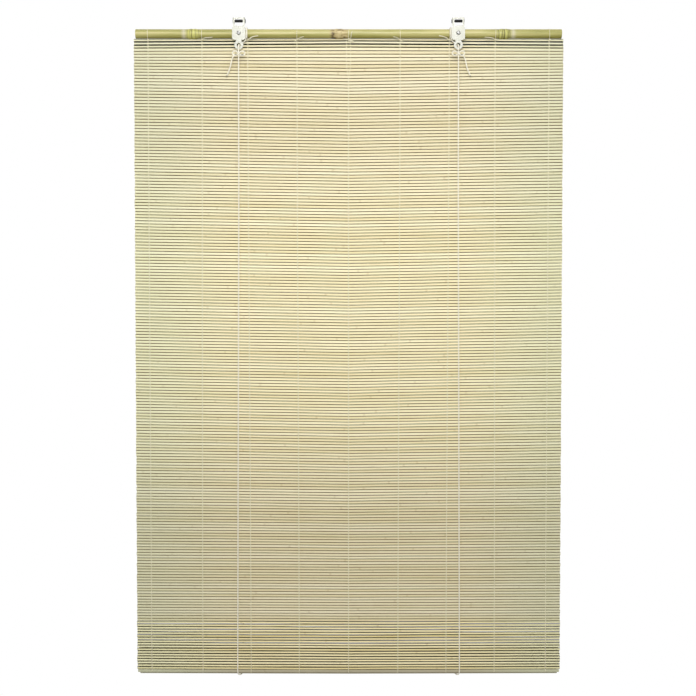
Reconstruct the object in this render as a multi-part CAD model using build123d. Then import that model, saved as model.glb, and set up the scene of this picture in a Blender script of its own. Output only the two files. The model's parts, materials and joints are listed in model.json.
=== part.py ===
"""Bamboo roll up blind: a mat of split bamboo slats tied to a bamboo pole, with two bent steel hangers.

The blind hangs unrolled. X runs along the pole, +Y points away from the room and +Z is up.
The origin lies midway between the two hanger pins, which the hooks in the wall or ceiling catch.
"""

from build123d import *
import math
import os

# Mat of slats
blind_width = 900.0
slat_pitch = 6.16
slat_gap = 0.42
slat_thickness = 1.6
slat_edge = 0.4
top_slat_count = 7
band_count = 40
slats_per_band = 5
hem_slat_count = 10

# Top pole, a length of whole bamboo with a node near each end and one in the middle
pole_length = 891.0
pole_diameter = 19.5
pole_bore = 10.4
pole_bore_depth = 108.0
pole_node_xs = (-325.0, -20.0, 325.0)
pole_node_rise = 0.8
pole_node_half_width = 11.0
pole_ridge_place = 3.85
pole_groove_rise = 0.36
pin_to_pole = 26.9
pole_to_mat = 2.85

# Hangers, bent from one strip of steel
hanger_spacing = 458.0
steel = 1.5
head_width = 25.2
head_top = 5.0
bend_radius = 2.5
window_width = 17.0
window_top = 1.6
window_bottom = -12.0
window_corner = 1.2
ear_reach = 5.2
ear_root = 7.0
plate_width = 27.7
plate_top = -13.0
plate_bottom = -41.4
plate_corner = 5.0
neck_width = 12.0
eye_radius = 9.45
eye_hole_radius = 4.2
eye_drop = 51.9
pin_diameter = 6.0
pin_clearance = 0.1
pin_head_diameter = 7.6
pin_head_height = 0.8

# Screw that holds each hanger to the pole
screw_diameter = 3.8
screw_length = 14.0
screw_point_length = 3.0
screw_hole_clearance = 0.2
pilot_hole_allowance = 1.0
screw_head_diameter = 8.4
screw_head_height = 2.4
screw_recess_width = 1.1
screw_recess_length = 3.4
screw_recess_depth = 1.2

# Threads that tie the slats
thread_columns = (0.0, 108.0, 211.0, 307.0, 420.0)
thread_width = 1.0
thread_thickness = 0.7
tie_clearance = 0.15
tie_overlap = 2.5
tie_end_height = 1.0

# Hem, where the mat goes round a rod and turns up behind
rod_diameter = 10.0
rod_length = 880.0
rod_clearance = 0.3
rod_chamfer = 0.8
wrap_step = 60.0
wrap_clearance = 0.1
hem_back_slat_count = 9
hem_back_gap = 1.8

# Lift cords
cord_diameter = 2.6
cord_clearance = 0.3
cord_joint_gap = 0.1
cord_foot_x = 225.0
cord_foot_slant = 11.0
cord_back_x = 213.4
cord_meeting_drop = 7.0
knot_loop_radius = 4.3
knot_width = 26.0
knot_core_diameter = 5.6
knot_core_height = 8.0
knot_core_edge = 1.2
knot_gap = 3.0
tail_inset = 3.2
tail_start_drop = 1.2
tail_steps = ((4.5, 1.2, 9.5), (7.0, 3.6, 21.0), (11.0, 6.0, 34.0), (16.0, 7.4, 43.0))
largest_tail_bend = 30.0

# How far a cutting shape reaches past the surface that it cuts
cut_reach = 1.0

# Worked out from the sizes above
slat_height = slat_pitch - slat_gap
half_slat = slat_thickness / 2
pole_radius = pole_diameter / 2
mat_top = -pin_to_pole - pole_radius - pole_to_mat
first_joint_z = mat_top - top_slat_count * slat_pitch
hem_joint_z = first_joint_z - band_count * slats_per_band * slat_pitch
rod_z = hem_joint_z - (hem_slat_count - 0.5) * slat_pitch
wrap_slat_room = slat_height / (2 * math.tan(math.radians(wrap_step / 2))) + wrap_clearance
wrap_apothem = max(rod_diameter / 2 + rod_clearance, wrap_slat_room) + half_slat
rod_y = wrap_apothem
thread_xs = sorted({sign * x for x in thread_columns for sign in (-1, 1)})
plate_y = -pole_radius


def slat_section():
    """A slat seen from its end: thin, with its four long edges split off at a slant."""
    y, z, cut = half_slat, slat_height / 2, slat_edge
    points = [
        (y - cut, -z), (y, cut - z), (y, z - cut), (y - cut, z),
        (cut - y, z), (-y, z - cut), (-y, cut - z), (cut - y, -z),
    ]
    return make_face(Polyline(*points, close=True))


def make_slat():
    """One slat, centred on the origin, along X."""
    return extrude(Plane.YZ.offset(-blind_width / 2) * slat_section(), blind_width)


def slat_row(slat, top_z, count):
    """A row of slats hanging in the plane of the mat, from top_z down."""
    return [Pos(0, 0, top_z - (i + 0.5) * slat_pitch) * slat for i in range(count)]


def hem_back(slat):
    """The slats that go under the rod, rise at its back and lean against the mat behind the hem."""
    slats = []
    for step in (-2, -1, 0):
        degrees = step * wrap_step
        angle = math.radians(degrees)
        y = rod_y + wrap_apothem * math.cos(angle)
        z = rod_z + wrap_apothem * math.sin(angle)
        slats.append(Pos(0, y, z) * Rot(degrees, 0, 0) * slat)
    start_y = rod_y + wrap_apothem
    run = hem_back_slat_count * slat_pitch
    lean = math.asin((start_y - slat_thickness - hem_back_gap) / run)
    for i in range(hem_back_slat_count):
        reach = (i + 0.5) * slat_pitch
        y = start_y - reach * math.sin(lean)
        z = rod_z + slat_pitch / 2 + reach * math.cos(lean)
        slats.append(Pos(0, y, z) * Rot(math.degrees(lean), 0, 0) * slat)
    return slats


def pole_outline():
    """Half the pole's length section: its wall, its raised nodes and the bore at each end."""
    half, w, ridge = pole_length / 2, pole_node_half_width, pole_ridge_place
    top, groove = pole_radius + pole_node_rise, pole_radius + pole_groove_rise
    starts = [x - w for x in pole_node_xs] + [half]
    skin = Line((-half, pole_radius), (starts[0], pole_radius))
    for x, end in zip(pole_node_xs, starts[1:]):
        skin += Spline(
            (x - w, pole_radius), (x - ridge, top), (x, groove), (x + ridge, top),
            (x + w, pole_radius), tangents=((1, 0), (1, 0)),
        )
        skin += Line((x + w, pole_radius), (end, pole_radius))
    bore = pole_bore / 2
    inner = half - pole_bore_depth
    skin += Polyline(
        (half, pole_radius), (half, bore), (inner, bore), (inner, 0), (-inner, 0),
        (-inner, bore), (-half, bore), (-half, pole_radius),
    )
    return make_face(skin)


def make_pole():
    """The top pole, with a pilot hole for each hanger's screw."""
    pole = Pos(0, 0, -pin_to_pole) * revolve(Plane.XZ * pole_outline(), Axis.X)
    depth = screw_length + pilot_hole_allowance
    drill = Cylinder(screw_diameter / 2, depth, align=(Align.CENTER, Align.CENTER, Align.MIN))
    for x in (-hanger_spacing / 2, hanger_spacing / 2):
        pole -= Pos(x, plate_y - cut_reach, -pin_to_pole) * Rot(-90, 0, 0) * drill
    return pole


def hanger_head():
    """The hanger's top: a channel bent from the strip, its two ears shaped round the pin."""
    outer = Rectangle(head_width, ear_reach + pole_radius + steel, align=(Align.CENTER, Align.MIN))
    outer = fillet(outer.vertices().group_by(Axis.Y)[0], bend_radius)
    inner = Rectangle(head_width - 2 * steel, ear_reach + pole_radius, align=(Align.CENTER, Align.MIN))
    inner = fillet(inner.vertices().group_by(Axis.Y)[0], bend_radius - steel)
    channel = Pos(0, plate_y - steel) * outer - Pos(0, plate_y) * inner
    channel = extrude(Plane.XY.offset(plate_top) * channel, head_top - plate_top)
    front = plate_y - steel
    back = plate_y + cut_reach
    flat = Polyline((front, plate_top), (back, plate_top), (back, head_top), (front, head_top), close=True)
    ear = Polyline((plate_y, -ear_root), (0, -ear_reach), (0, ear_reach), (plate_y, ear_root), close=True)
    side = make_face(flat) + make_face(ear) + Circle(ear_reach)
    return channel & extrude(Plane.YZ * side, head_width, both=True)


def make_hanger():
    """A hanger, centred on X = 0: window and pin ears above, screw plate in the middle, cord eye below."""
    plate_height = plate_top - plate_bottom
    plate = Pos(0, plate_top - plate_height / 2) * RectangleRounded(plate_width, plate_height, plate_corner)
    head_foot = Pos(0, plate_top) * Rectangle(head_width, 2 * plate_corner)
    neck_length = eye_drop + plate_bottom
    neck = Pos(0, (plate_bottom - eye_drop) / 2) * Rectangle(neck_width, neck_length + 4 * cut_reach)
    face = plate + head_foot + neck + Pos(0, -eye_drop) * Circle(eye_radius)
    face -= Pos(0, -eye_drop) * Circle(eye_hole_radius)
    face -= Pos(0, -pin_to_pole) * Circle(screw_diameter / 2 + screw_hole_clearance)
    hanger = extrude(Plane.XZ.offset(pole_radius) * face, steel) + hanger_head()
    window_height = window_top - window_bottom
    window = RectangleRounded(window_width, window_height, window_corner)
    window = Pos(0, window_bottom + window_height / 2) * window
    hanger -= extrude(Plane.XZ.offset(pole_radius - cut_reach) * window, steel + 2 * cut_reach)
    hanger -= Rot(0, 90, 0) * Cylinder(pin_diameter / 2 + pin_clearance, head_width + 2 * cut_reach)
    return hanger


def make_pin():
    """The steel pin across the two ears, its ends spread so that it stays in."""
    pin = Cylinder(pin_diameter / 2, head_width)
    head = Cylinder(pin_head_diameter / 2, pin_head_height)
    for end in (-1, 1):
        pin += Pos(0, 0, end * (head_width + pin_head_height) / 2) * head
    return Rot(0, 90, 0) * pin


def make_screw():
    """A pan head screw along Y, with its head's seat at the origin and its point towards +Y."""
    r, h = screw_head_diameter / 2, screw_head_height
    shank = screw_diameter / 2
    flat_end, shoulder, rim = (r * 0.45, h), (r * 0.86, h * 0.74), (r, h * 0.3)
    outline = Line((0, h), flat_end) + ThreePointArc(flat_end, shoulder, rim)
    thread_end = screw_point_length - screw_length
    outline += Polyline(rim, (r, 0), (shank, 0), (shank, thread_end), (0, -screw_length), (0, h))
    screw = revolve(Plane.XZ * make_face(outline), Axis.Z)
    slot = Box(screw_recess_length, screw_recess_width, screw_recess_depth)
    seat = Pos(0, 0, h - screw_recess_depth / 2)
    cross = slot + Rot(0, 0, 90) * slot
    screw -= seat * Rot(0, 0, 45) * cross
    return Rot(90, 0, 0) * screw


def hull_round_pole(extra):
    """The loop of a tie round the pole, closing on the faces of the top slat, grown by extra."""
    tail_z = mat_top - tie_overlap
    half = half_slat + extra
    pole = Pos(0, -pin_to_pole) * Circle(pole_radius + tie_clearance + extra)
    tail = Pos(0, tail_z + tie_end_height / 2) * Rectangle(2 * half, tie_end_height)
    return make_hull(pole.edges() + tail.edges())


def make_pole_tie():
    """One thread looped over the pole, down to both faces of the top slat."""
    tie = hull_round_pole(thread_thickness) - hull_round_pole(0)
    below = Pos(0, mat_top - tie_overlap) * Rectangle(2 * half_slat, 2 * tie_overlap)
    return extrude(Plane.YZ * (tie - below), thread_width / 2, both=True)


def make_thread():
    """The pair of threads of one column: one down the front of the slats, one down the back."""
    top = mat_top - tie_overlap
    strands = []
    for sign, bottom in ((-1, rod_z), (1, hem_joint_z)):
        y = sign * (half_slat + thread_thickness / 2)
        strand = Box(thread_width, thread_thickness, top - bottom)
        strands.append(Pos(0, y, (top + bottom) / 2) * strand)
    return strands


def cord_tube(name, points, radii):
    """A cord of straight runs and tangent arcs through these points."""
    path = FilletPolyline(*points, radius=radii)
    start = Plane(origin=path @ 0, z_dir=path % 0)
    tube = sweep(start * Circle(cord_diameter / 2), path=path)
    section = math.pi * cord_diameter**2 / 4
    radii_text = ", ".join(f"{r:.1f}" for r in radii)
    print(f"{name}: length {path.length:.0f} mm, arc radii {radii_text} mm")
    print(f"  volume {tube.volume:.1f}, section times length {section * path.length:.1f}")
    return tube


def corner_radii(points):
    """The largest arc at each corner: 0.45 of the shorter run over the tangent of half the turn."""
    radii = []
    for before, here, after in zip(points, points[1:], points[2:]):
        first, second = Vector(here) - Vector(before), Vector(after) - Vector(here)
        turn = math.radians(first.get_angle(second))
        radii.append(0.45 * min(first.length, second.length) / math.tan(turn / 2))
    return radii


def lift_cord(side):
    """The taut cord: down the front from the knot, round the hem and up the back to the pole."""
    wrap = math.hypot(wrap_apothem + half_slat, slat_height / 2) + cord_clearance + cord_diameter / 2
    foot_z = rod_z - wrap
    over_pole = pole_radius + pole_node_rise + cord_diameter / 2
    x = hanger_spacing / 2
    points = [
        (side * x, knot_y(), knot_z() - knot_core_height / 2 - cord_joint_gap),
        (side * (cord_foot_x + cord_foot_slant), rod_y - wrap, foot_z),
        (side * cord_foot_x, rod_y + wrap, foot_z),
        (side * cord_back_x, over_pole, -pin_to_pole - cord_meeting_drop - cord_joint_gap),
    ]
    return cord_tube("lift cord", points, [wrap * 0.97] * 2)


def knot_y():
    """The knots hang in front of the hangers' eyes."""
    return plate_y - steel - cord_diameter


def knot_z():
    """The knots hang just below the eyes."""
    return -eye_drop - eye_radius - knot_gap - knot_loop_radius - cord_diameter / 2


def cord_tie(side):
    """The cord's end: over the pole, behind the eye, out through it and down to a bow."""
    over = pole_radius + pole_node_rise + cord_diameter / 2
    top_z = -pin_to_pole + over
    x, back_x = hanger_spacing / 2, cord_back_x
    points = [
        (side * back_x, over, -pin_to_pole - cord_meeting_drop),
        (side * back_x, over, top_z),
        (side * back_x, -over, top_z),
        (side * (back_x - 0.5), -over, -pin_to_pole - 6.5),
        (side * (back_x + 1.5), -5.4, -pin_to_pole - 15.0),
        (side * (x - 2.0), -5.2, -eye_drop + 1.8),
        (side * x, knot_y() - 0.8, -eye_drop + 0.4),
        (side * x, knot_y(), knot_z() + knot_core_height / 2),
    ]
    radii = corner_radii(points)
    radii[0] = radii[1] = over * 0.97
    radii = [min(radii[0], over), min(radii[1], over)] + [min(r, 5.0) for r in radii[2:]]
    tube = cord_tube("cord tie", points, radii)
    bow = Cylinder(knot_core_diameter / 2, knot_core_height)
    bow = fillet(bow.edges(), knot_core_edge)
    loop = Rot(90, 0, 0) * Torus(knot_loop_radius, cord_diameter / 2)
    reach = knot_width / 2 - knot_loop_radius - cord_diameter / 2
    for sign in (-1, 1):
        bow += Pos(sign * reach, 0, 0) * loop
    return [tube, Pos(side * x, knot_y(), knot_z()) * bow]


def cord_tail(side):
    """The loose end below the bow."""
    x, y, z = hanger_spacing / 2, knot_y(), knot_z()
    outer = x + knot_width / 2 - tail_inset
    foot = z - knot_loop_radius - tail_start_drop
    points = [(side * outer, y, foot)]
    for out, back, drop in tail_steps:
        points.append((side * (outer + out), y + back, foot - drop))
    return cord_tube("cord tail", points, [min(r, largest_tail_bend) for r in corner_radii(points)])


def save(name, solids):
    """Write one sub-part, a solid or a group of separate solids, under its name."""
    shape = Compound(children=solids) if isinstance(solids, list) else solids
    export_step(shape, f"parts/{name}.step")


os.makedirs("parts", exist_ok=True)
one_slat = make_slat()

save("top_pole", make_pole())
save("top_slats", slat_row(one_slat, mat_top, top_slat_count))
for number in range(band_count):
    band_top = first_joint_z - number * slats_per_band * slat_pitch
    save(f"slat_band_{number + 1:02d}", slat_row(one_slat, band_top, slats_per_band))
save("hem_front_slats", slat_row(one_slat, hem_joint_z, hem_slat_count))
save("hem_back_slats", hem_back(one_slat))
rod = Rot(0, 90, 0) * chamfer(Cylinder(rod_diameter / 2, rod_length).edges(), rod_chamfer)
save("bottom_rod", Pos(0, rod_y, rod_z) * rod)

save("pole_ties", [Pos(x, 0, 0) * make_pole_tie() for x in thread_xs])
save("warp_threads", [Pos(x, 0, 0) * strand for x in thread_xs for strand in make_thread()])

for side_name, side in (("left", -1), ("right", 1)):
    place = Pos(side * hanger_spacing / 2, 0, 0)
    save(f"hanger_{side_name}", place * make_hanger())
    save(f"hanger_pin_{side_name}", place * make_pin())
    screw_seat = Pos(0, plate_y - steel, -pin_to_pole)
    save(f"hanger_screw_{side_name}", place * screw_seat * make_screw())
    save(f"lift_cord_{side_name}", lift_cord(side))
    save(f"cord_tie_{side_name}", cord_tie(side))
    save(f"cord_tail_{side_name}", cord_tail(side))
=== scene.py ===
# %% [markdown]
# # A bamboo roll up blind
#
# The blind is a mat of split bamboo slats, tied with thin thread and hung from a pole of whole bamboo.
# Two white steel hangers hold the pole, and two white cords run down the front and round the hem.
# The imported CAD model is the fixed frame: its pole, hangers, pins, screws and rod stay as they are and
# get finishes, and its plain slats, threads and cords are replaced by detailed ones in the same places.

# %% Load the frame
import json
import math
import bpy
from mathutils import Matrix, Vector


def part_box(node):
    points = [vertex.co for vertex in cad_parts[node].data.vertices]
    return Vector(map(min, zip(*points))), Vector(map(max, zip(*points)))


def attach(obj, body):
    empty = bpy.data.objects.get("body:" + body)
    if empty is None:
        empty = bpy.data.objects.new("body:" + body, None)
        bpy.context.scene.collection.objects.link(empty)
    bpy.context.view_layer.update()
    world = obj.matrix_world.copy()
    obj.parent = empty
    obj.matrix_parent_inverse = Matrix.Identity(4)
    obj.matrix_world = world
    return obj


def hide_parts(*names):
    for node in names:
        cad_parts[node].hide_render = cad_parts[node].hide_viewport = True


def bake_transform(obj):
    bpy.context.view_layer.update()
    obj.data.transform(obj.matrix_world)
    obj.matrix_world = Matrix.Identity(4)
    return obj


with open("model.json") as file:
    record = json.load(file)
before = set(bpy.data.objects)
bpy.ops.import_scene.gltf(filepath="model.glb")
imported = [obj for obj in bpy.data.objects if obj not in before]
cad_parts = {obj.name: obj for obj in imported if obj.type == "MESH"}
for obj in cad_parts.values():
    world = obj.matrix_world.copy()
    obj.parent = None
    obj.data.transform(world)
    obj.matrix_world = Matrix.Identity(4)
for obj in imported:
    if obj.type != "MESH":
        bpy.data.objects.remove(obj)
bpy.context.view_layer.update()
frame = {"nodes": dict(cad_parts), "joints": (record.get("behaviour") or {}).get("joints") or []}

# %% [markdown]
# ## Camera
#
# The photograph looks straight at the blind from a little above its middle. The mat is 430 pixels wide at
# its top and 418 at its foot, which gives the small tilt down and the distance. A longer lens from further
# away would flatten that taper out, so the distance is kept.

# %% Place the camera
PHOTO_SIZE = 696
FOCAL_PIXELS = 1160.0
camera_data = bpy.data.cameras.new("photo_camera")
camera_data.sensor_width = 36.0
camera_data.lens = FOCAL_PIXELS * camera_data.sensor_width / PHOTO_SIZE
camera = bpy.data.objects.new("photo_camera", camera_data)
camera.location = (-0.0012, -2.449, -0.6070)
camera.rotation_euler = (math.radians(90.0 - 1.82), 0.0, 0.0)
bpy.context.collection.objects.link(camera)
bpy.context.scene.camera = camera
print("lens", round(camera_data.lens, 1), "mm")

# %% [markdown]
# ## Two helpers for node trees
#
# Geometry and shader trees are both lists of nodes with links between them. One helper makes a node, sets
# its choices and fills its sockets, with a link where the value is another node's output. The other is
# short for a Math node. With them a tree reads from top to bottom like a recipe.

# %% Node helpers
def add_node(tree, kind, sockets=None, **choices):
    made = tree.nodes.new(kind)
    for name, value in choices.items():
        setattr(made, name, value)
    for name, value in (sockets or {}).items():
        if isinstance(value, bpy.types.NodeSocket):
            tree.links.new(value, made.inputs[name])
        else:
            made.inputs[name].default_value = value
    return made


def calc(tree, operation, first, second=0.0, third=0.0):
    sockets = {0: first, 1: second}
    if operation == "MULTIPLY_ADD":
        sockets[2] = third
    return add_node(tree, "ShaderNodeMath", sockets, operation=operation).outputs[0]


def chip(red, green, blue):
    """A colour as read from a screen, 0 to 255, turned into the linear light that Blender mixes."""
    return tuple((c / 255) ** 2.2 for c in (red, green, blue)) + (1.0,)


# %% [markdown]
# ## Materials
#
# Every finish starts from one Principled shader. Patterns use Object coordinates or attributes stored by
# the geometry trees, so they stay on the piece when it moves. Colours vary through a Color Ramp, and the
# same noise feeds a Bump node, which gives fibres and grain without more faces.

# %% Start a finish
def new_finish(name, roughness, metallic=0.0):
    material = bpy.data.materials.new(name)
    material.use_nodes = True
    tree = material.node_tree
    shader = next(n for n in tree.nodes if n.type == "BSDF_PRINCIPLED")
    shader.inputs["Roughness"].default_value = roughness
    shader.inputs["Metallic"].default_value = metallic
    return material, tree, shader


def stretched_noise(tree, scale, detail=4.0, roughness=0.55):
    """Noise on Object coordinates, with its own scale along each axis."""
    coordinates = add_node(tree, "ShaderNodeTexCoord").outputs["Object"]
    placed = add_node(tree, "ShaderNodeMapping", {"Vector": coordinates, "Scale": scale}).outputs[0]
    noise = add_node(tree, "ShaderNodeTexNoise", {
        "Vector": placed, "Scale": 1.0, "Detail": detail, "Roughness": roughness})
    return noise.outputs[0]


def ramp(tree, factor, stops):
    made = add_node(tree, "ShaderNodeValToRGB", {"Fac": factor})
    elements = made.color_ramp.elements
    while len(elements) < len(stops):
        elements.new(0.5)
    for element, (position, colour) in zip(elements, stops):
        element.position, element.color = position, colour
    return made.outputs["Color"]


def eased_range(tree, value, start, end, first, last):
    return add_node(tree, "ShaderNodeMapRange", {
        "Value": value, "From Min": start, "From Max": end, "To Min": first, "To Max": last},
        interpolation_type="SMOOTHSTEP").outputs[0]


def mix_colours(tree, factor, first, second, blend_type="MIX"):
    made = add_node(tree, "ShaderNodeMix", {0: factor}, data_type="RGBA", blend_type=blend_type)
    for index, value in ((6, first), (7, second)):
        if isinstance(value, bpy.types.NodeSocket):
            tree.links.new(value, made.inputs[index])
        else:
            made.inputs[index].default_value = value
    return made.outputs[2]


def bump(tree, shader, height, distance, strength=1.0):
    made = add_node(tree, "ShaderNodeBump", {"Height": height, "Distance": distance, "Strength": strength})
    tree.links.new(made.outputs[0], shader.inputs["Normal"])


def object_place(tree):
    """The X, Y and Z of the Object coordinates."""
    coordinates = add_node(tree, "ShaderNodeTexCoord").outputs["Object"]
    return add_node(tree, "ShaderNodeSeparateXYZ", {0: coordinates}).outputs


def stored(tree, name):
    """A number that a geometry tree stored on the mesh."""
    return add_node(tree, "ShaderNodeAttribute", attribute_name=name).outputs["Fac"]


# %% [markdown]
# ### Split bamboo
#
# A slat is a strip split from a culm: a pale satin face with fine fibres along it, darker split edges, and
# here and there the ring of a node. Each slat has a tone of its own, stored by the geometry tree, and the
# faces between two slats are stored too, so that the split edges can be a darker colour. That colour is
# partly the split's own brown and partly painted shade in the grooves. The faces are also made darker at
# the top of the mat and towards its foot, a painted falloff of the light.

# %% Slat finishes
def slat_finish(name, pale, warm, split_edge_and_groove_shade, ring, painted_falloff_below=0.0):
    material, tree, shader = new_finish(name, 0.60)
    shader.inputs["Specular IOR Level"].default_value = 0.22
    fibres = stretched_noise(tree, (5.0, 260.0, 900.0))
    patches = stretched_noise(tree, (7.0, 30.0, 42.0), detail=2.0)
    tone = stored(tree, "slat_tone")
    blend = calc(tree, "MULTIPLY_ADD", fibres, 0.35, calc(tree, "MULTIPLY_ADD", tone, 0.45,
                 calc(tree, "MULTIPLY", patches, 0.35)))
    face = ramp(tree, blend, [(0.30, pale), (0.85, warm)])
    place = object_place(tree)
    x, z = place["X"], place["Z"]
    along = calc(tree, "MULTIPLY_ADD", x, 2.9, calc(tree, "MULTIPLY", tone, 9.0))
    near_ring = calc(tree, "PINGPONG", along, 1.0)
    ring_mask = calc(tree, "LESS_THAN", near_ring, 0.006)
    face = mix_colours(tree, calc(tree, "MULTIPLY", ring_mask, 0.22), face, ring)
    towards_end = eased_range(tree, calc(tree, "ABSOLUTE", x), 0.20, 0.45, 0.0, 0.4)
    face = mix_colours(tree, towards_end, face, chip(212, 222, 186))
    # Painted light falloff: the faces are multiplied darker at the top of the mat and, by the given share,
    # towards its foot.
    painted_falloff = calc(tree, "MAXIMUM", eased_range(tree, z, -0.55, -0.12, 0.0, 1.0),
                     eased_range(tree, z, -0.75, -1.10, 0.0, painted_falloff_below))
    face = mix_colours(tree, painted_falloff, face, chip(234, 233, 236), "MULTIPLY")
    # The side faces take the darker colour: partly the split's own brown, partly painted shade in the
    # grooves.
    colour = mix_colours(tree, stored(tree, "side_face"), face, split_edge_and_groove_shade)
    tree.links.new(colour, shader.inputs["Base Color"])
    bump(tree, shader, fibres, 0.0002, 0.6)
    return material


slat_bamboo = slat_finish("slat_bamboo", chip(252, 242, 204), chip(234, 220, 172),
                          chip(104, 92, 54), chip(176, 150, 96), painted_falloff_below=0.9)
# The rounded lower edge: darker grey faces, painted shade where the mat turns under the rod.
worn_bamboo = slat_finish("worn_bamboo", chip(186, 178, 154), chip(164, 155, 126),
                          chip(128, 118, 92), chip(160, 146, 112))
# The first slats under the pole: near-black split edges, painted shade of the pole in the gaps.
shaded_bamboo = slat_finish("shaded_bamboo", chip(250, 244, 208), chip(236, 226, 176),
                            chip(26, 22, 10), chip(176, 150, 96))
# Hem slats and the band above them: near-black split edges, painted shade in the gaps where the layer behind
# blocks the light.
hem_bamboo = slat_finish("hem_bamboo", chip(250, 238, 194), chip(222, 204, 142),
                         chip(28, 18, 4), chip(160, 130, 76))

# %% [markdown]
# ### Whole bamboo
#
# The pole is a thin culm: olive and straw skin in long streaks, paler where it was scraped, a dusty ring
# with dark scars at each node, and one brown, rough node left of the middle. The rings are made from the
# distance to each node along X, so they wrap round the pole at the right place.

# %% Pole finish
POLE_Z = -0.0269
NODE_PLACES = (-0.325, 0.325)
SCAR_PLACE = -0.020


def near(tree, x, place, reach):
    """1 at a place along the pole, falling to 0 at its reach."""
    distance = calc(tree, "ABSOLUTE", calc(tree, "SUBTRACT", x, place))
    return add_node(tree, "ShaderNodeMapRange", {
        "Value": distance, "From Min": 0.0, "From Max": reach, "To Min": 1.0, "To Max": 0.0}).outputs[0]


def pole_finish():
    material, tree, shader = new_finish("pole_bamboo", 0.38)
    streaks = stretched_noise(tree, (3.0, 120.0, 120.0))
    patches = stretched_noise(tree, (6.0, 22.0, 22.0), detail=3.0)
    grain = stretched_noise(tree, (30.0, 900.0, 900.0))
    blend = calc(tree, "MULTIPLY_ADD", streaks, 0.6, calc(tree, "MULTIPLY", patches, 0.4))
    colour = ramp(tree, blend, [
        (0.34, chip(140, 138, 62)), (0.46, chip(178, 172, 96)),
        (0.56, chip(206, 196, 124)), (0.68, chip(222, 206, 150))])
    place_on_pole = object_place(tree)
    x, z = place_on_pole["X"], place_on_pole["Z"]
    colour = mix_colours(tree, 1.0, colour, chip(232, 233, 244), "MULTIPLY")
    # Painted shade: the underside of the pole is mixed towards dark olive.
    painted_underside_shade = eased_range(tree, z, POLE_Z - 0.0020, POLE_Z - 0.0090, 0.0, 0.60)
    colour = mix_colours(tree, painted_underside_shade, colour, chip(122, 114, 16))
    height = grain
    fine_rings = stretched_noise(tree, (420.0, 16.0, 16.0), detail=3.0)
    for place in NODE_PLACES:
        zone = near(tree, x, place, 0.017)
        scars = ramp(tree, fine_rings, [(0.40, chip(88, 84, 24)), (0.55, chip(196, 194, 108))])
        colour = mix_colours(tree, calc(tree, "MULTIPLY", calc(tree, "MINIMUM", calc(
            tree, "MULTIPLY", zone, 2.2), 1.0), 0.75), colour, scars)
        dust = near(tree, x, place + math.copysign(0.019, place), 0.007)
        colour = mix_colours(tree, calc(tree, "MULTIPLY", dust, 0.6), colour, chip(206, 200, 180))
        height = calc(tree, "MULTIPLY_ADD", calc(tree, "MULTIPLY", zone, fine_rings), 3.0, height)
    scar_zone = near(tree, x, SCAR_PLACE, 0.030)
    rough_skin = stretched_noise(tree, (70.0, 130.0, 130.0), detail=6.0, roughness=0.7)
    scar = ramp(tree, rough_skin, [
        (0.38, chip(84, 68, 34)), (0.44, chip(164, 146, 96)), (0.60, chip(200, 184, 134))])
    scar_mask = calc(tree, "MINIMUM", calc(tree, "MAXIMUM", calc(tree, "MULTIPLY", calc(
        tree, "SUBTRACT", calc(tree, "MULTIPLY", scar_zone, calc(tree, "ADD", rough_skin, 0.5)), 0.30),
        6.0), 0.0), 1.0)
    colour = mix_colours(tree, scar_mask, colour, scar)
    height = calc(tree, "MULTIPLY_ADD", calc(tree, "MULTIPLY", scar_zone, rough_skin), 5.0, height)
    tree.links.new(colour, shader.inputs["Base Color"])
    bump(tree, shader, height, 0.0004, 0.7)
    return material


pole_bamboo = pole_finish()

# %% [markdown]
# ### Paint and metal
#
# The hangers are bent steel with a thick white gloss coat, which is not quite flat, so a large soft noise
# bends its highlights. The pin across each window is dark and ridged like a threaded bar, and the screw is
# bright zinc with fine turning marks.

# %% Paint and metal finishes
def paint_finish():
    material, tree, shader = new_finish("white_paint", 0.32)
    film = stretched_noise(tree, (160.0, 160.0, 160.0), detail=2.0)
    speck = stretched_noise(tree, (900.0, 900.0, 900.0), detail=3.0)
    colour = ramp(tree, speck, [(0.30, chip(180, 180, 166)), (0.60, chip(196, 196, 182))])
    tree.links.new(colour, shader.inputs["Base Color"])
    shader.inputs["Coat Weight"].default_value = 0.4
    shader.inputs["Coat Roughness"].default_value = 0.12
    bump(tree, shader, film, 0.0006, 0.25)
    return material


def metal_finish(name, dark, light, roughness, ridge_pitch, ridge_depth):
    material, tree, shader = new_finish(name, roughness, metallic=1.0)
    marks = stretched_noise(tree, (1500.0, 400.0, 400.0))
    tree.links.new(ramp(tree, marks, [(0.35, dark), (0.65, light)]), shader.inputs["Base Color"])
    x = object_place(tree)["X"]
    ridges = calc(tree, "PINGPONG", calc(tree, "MULTIPLY", x, 2.0 / ridge_pitch), 1.0)
    bump(tree, shader, ridges, ridge_depth, 1.0)
    return material


white_paint = paint_finish()
dark_steel = metal_finish("dark_steel", chip(52, 52, 54), chip(86, 86, 88), 0.42, 0.0020, 0.0006)
screw_steel = metal_finish("screw_steel", chip(104, 104, 102), chip(150, 150, 148), 0.34, 0.0030, 0.00002)

# %% [markdown]
# ### Thread and cord
#
# Cord and thread are tubes whose geometry tree stores the length along them and the direction round them.
# Two sets of slanting lines, one each way round, cross in a braid. One set alone makes a twist, as in the
# tie thread. The direction is stored as a cosine and a sine, because an angle would jump at the seam.

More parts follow.
